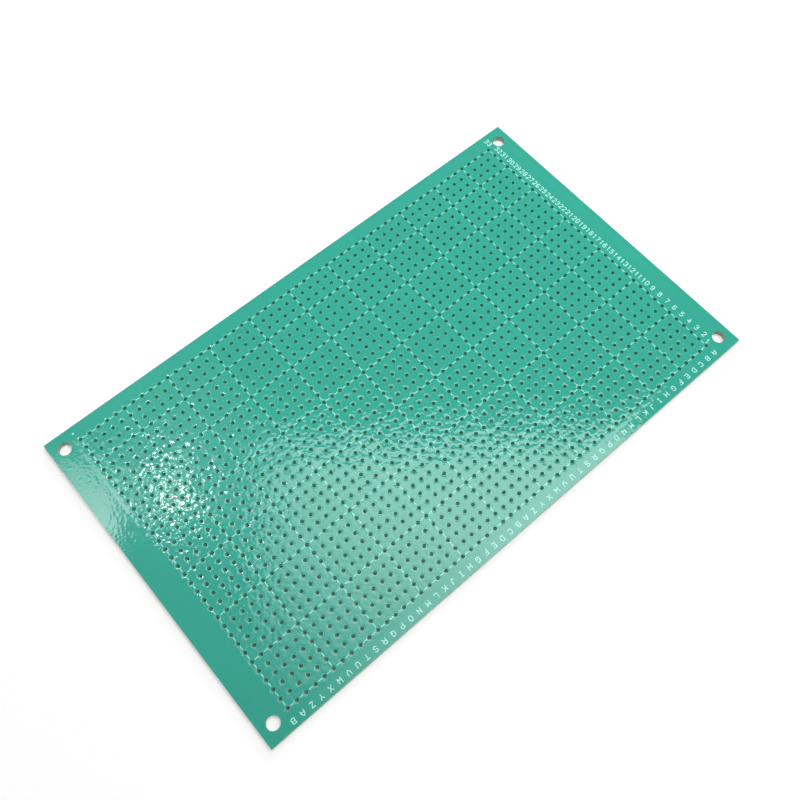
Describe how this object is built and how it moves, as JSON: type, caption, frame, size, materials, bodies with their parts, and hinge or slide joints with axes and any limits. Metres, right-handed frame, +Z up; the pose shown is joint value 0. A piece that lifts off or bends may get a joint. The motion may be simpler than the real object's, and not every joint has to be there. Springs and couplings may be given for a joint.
{
  "type": "prototype circuit board",
  "caption": "Flat rectangular perforated circuit board with a dense grid of lead holes, round solder pads underneath, finger pads along both short edges and a hole in each corner.",
  "frame": {"origin": "centre of the rectangular underside, on the plane that the board rests on", "axes": "+X along the 150 mm length, +Y along the 90 mm width, +Z up through the thickness, from the solder side to the component side"},
  "size_m": [0.15, 0.09, 0.0016],
  "materials": {
    "laminate": "glass-epoxy sheet, cut edges show pale cream weave",
    "solder_mask": "glossy green solder mask with fine weave ripple",
    "tinned_pad": "bright tinned copper, slightly domed",
    "legend_ink": "pale printed ink"
  },
  "bodies": {
    "root": {"laminate": "laminate", "mask_component_side": "solder_mask", "mask_solder_side": "solder_mask", "pad_row_01": "tinned_pad", "pad_row_02": "tinned_pad", "pad_row_03": "tinned_pad", "pad_row_04": "tinned_pad", "pad_row_05": "tinned_pad", "pad_row_06": "tinned_pad", "pad_row_07": "tinned_pad", "pad_row_08": "tinned_pad", "pad_row_09": "tinned_pad", "pad_row_10": "tinned_pad", "pad_row_11": "tinned_pad", "pad_row_12": "tinned_pad", "pad_row_13": "tinned_pad", "pad_row_14": "tinned_pad", "pad_row_15": "tinned_pad", "pad_row_16": "tinned_pad", "pad_row_17": "tinned_pad", "pad_row_18": "tinned_pad", "pad_row_19": "tinned_pad", "pad_row_20": "tinned_pad", "pad_row_21": "tinned_pad", "pad_row_22": "tinned_pad", "pad_row_23": "tinned_pad", "pad_row_24": "tinned_pad", "pad_row_25": "tinned_pad", "pad_row_26": "tinned_pad", "pad_row_27": "tinned_pad", "pad_row_28": "tinned_pad", "pad_row_29": "tinned_pad", "pad_row_30": "tinned_pad", "pad_row_31": "tinned_pad", "pad_row_32": "tinned_pad", "pad_row_33": "tinned_pad", "finger_pads_left": "tinned_pad", "finger_pads_right": "tinned_pad", "legend_columns": "legend_ink", "legend_rows": "legend_ink"}
  },
  "joints": []
}
